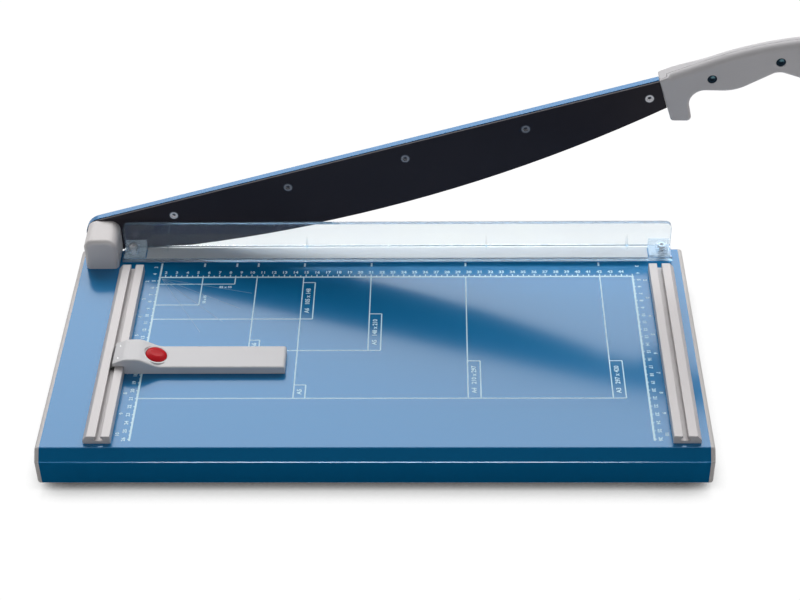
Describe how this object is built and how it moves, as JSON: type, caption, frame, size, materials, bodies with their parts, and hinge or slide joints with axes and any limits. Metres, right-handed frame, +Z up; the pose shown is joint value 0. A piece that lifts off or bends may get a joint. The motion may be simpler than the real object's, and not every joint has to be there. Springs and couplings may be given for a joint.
{
  "type": "paper cutter",
  "caption": "Lever paper cutter with a blue steel table, curved blade on a hinged beam, clear clamp bar, guide rails and a sliding back gauge.",
  "frame": {"origin": "middle of the bounding box at rest, on the desk surface under the rubber feet", "axes": "+X to the operator's right along the cutting edge, +Y away from the operator, +Z up"},
  "size_m": [0.6895, 0.2959, 0.262],
  "materials": {
    "blue_paint": "smooth semi-gloss powder coat, mid blue",
    "beam_paint": "semi-gloss powder coat, lighter blue",
    "cap_plastic": "fine-grained warm light grey moulding",
    "cover_plastic": "satin light grey moulding",
    "handle_plastic": "satin mid grey moulding",
    "gauge_plastic": "satin light grey moulding",
    "shoe_plastic": "dark sliding plastic",
    "button_red": "glossy red moulding",
    "clear_plastic": "clear acrylic with a faint blue cast",
    "ground_steel": "ground hardened steel",
    "blade_black": "dark low-friction coating on ground steel",
    "zinc_steel": "zinc-plated steel",
    "dark_steel": "blackened steel",
    "spring_steel": "drawn spring wire",
    "rail_aluminium": "satin natural anodised extrusion",
    "bronze": "sintered bronze",
    "foot_rubber": "matt black rubber"
  },
  "bodies": {
    "base": {"table_shell": "blue_paint", "end_cap_left": "cap_plastic", "end_cap_right": "cap_plastic", "back_bar": "dark_steel", "counter_blade": "ground_steel", "counter_blade_screws": "zinc_steel", "guide_rail_left": "rail_aluminium", "guide_rail_right": "rail_aluminium", "rail_screws": "zinc_steel", "pivot_bracket": "zinc_steel", "bracket_screws": "zinc_steel", "pivot_cover": "cover_plastic", "cover_screws": "zinc_steel", "pivot_bolt": "zinc_steel", "thrust_washer": "zinc_steel", "disc_springs": "dark_steel", "pivot_nut": "zinc_steel", "guide_posts": "zinc_steel", "guard_spring_left": "spring_steel", "guard_spring_right": "spring_steel", "foot_back_left": "foot_rubber", "foot_front_left": "foot_rubber", "foot_back_right": "foot_rubber", "foot_front_right": "foot_rubber", "foot_screws": "zinc_steel"},
    "arm": {"arm_beam": "beam_paint", "upper_blade": "blade_black", "blade_screws": "dark_steel", "pivot_bush": "bronze", "handle_front_half": "handle_plastic", "handle_rear_half": "handle_plastic", "handle_screws": "dark_steel", "handle_nuts": "dark_steel"},
    "clamp": {"clamp_guard": "clear_plastic", "guard_end_left": "clear_plastic", "guard_end_right": "clear_plastic"},
    "gauge": {"gauge_body": "gauge_plastic", "gauge_shoe": "shoe_plastic", "shoe_screws": "zinc_steel", "brake_spring": "spring_steel"},
    "button": {"gauge_button": "button_red"},
    "brake": {"gauge_brake": "shoe_plastic"}
  },
  "joints": [
    {"name": "arm_pivot", "type": "hinge", "parent": "base", "child": "arm", "pos_m": [-0.32233, 0.13605, 0.0564], "axis": [0, -1, 0], "range_deg": [-16.3, 33.7]},
    {"name": "clamp_press", "type": "slide", "parent": "base", "child": "clamp", "axis": [0, 0, -1], "range_m": [0, 0.0014], "stiffness_N_per_m": 7000, "deforming": ["guard_spring_left", "guard_spring_right"]},
    {"name": "gauge_slide", "type": "slide", "parent": "base", "child": "gauge", "axis": [0, 1, 0], "range_m": [-0.084, 0.112]},
    {"name": "button_push", "type": "slide", "parent": "gauge", "child": "button", "axis": [-0.2588, 0, -0.9659], "range_m": [0, 0.002], "stiffness_N_per_m": 2500},
    {"name": "brake_slide", "type": "slide", "parent": "gauge", "child": "brake", "axis": [1, 0, 0], "range_m": [0, 0.001], "deforming": ["brake_spring"]}
  ],
  "couplings": [
    {"joint": "brake_slide", "follows": "button_push", "ratio": 0.5}
  ]
}
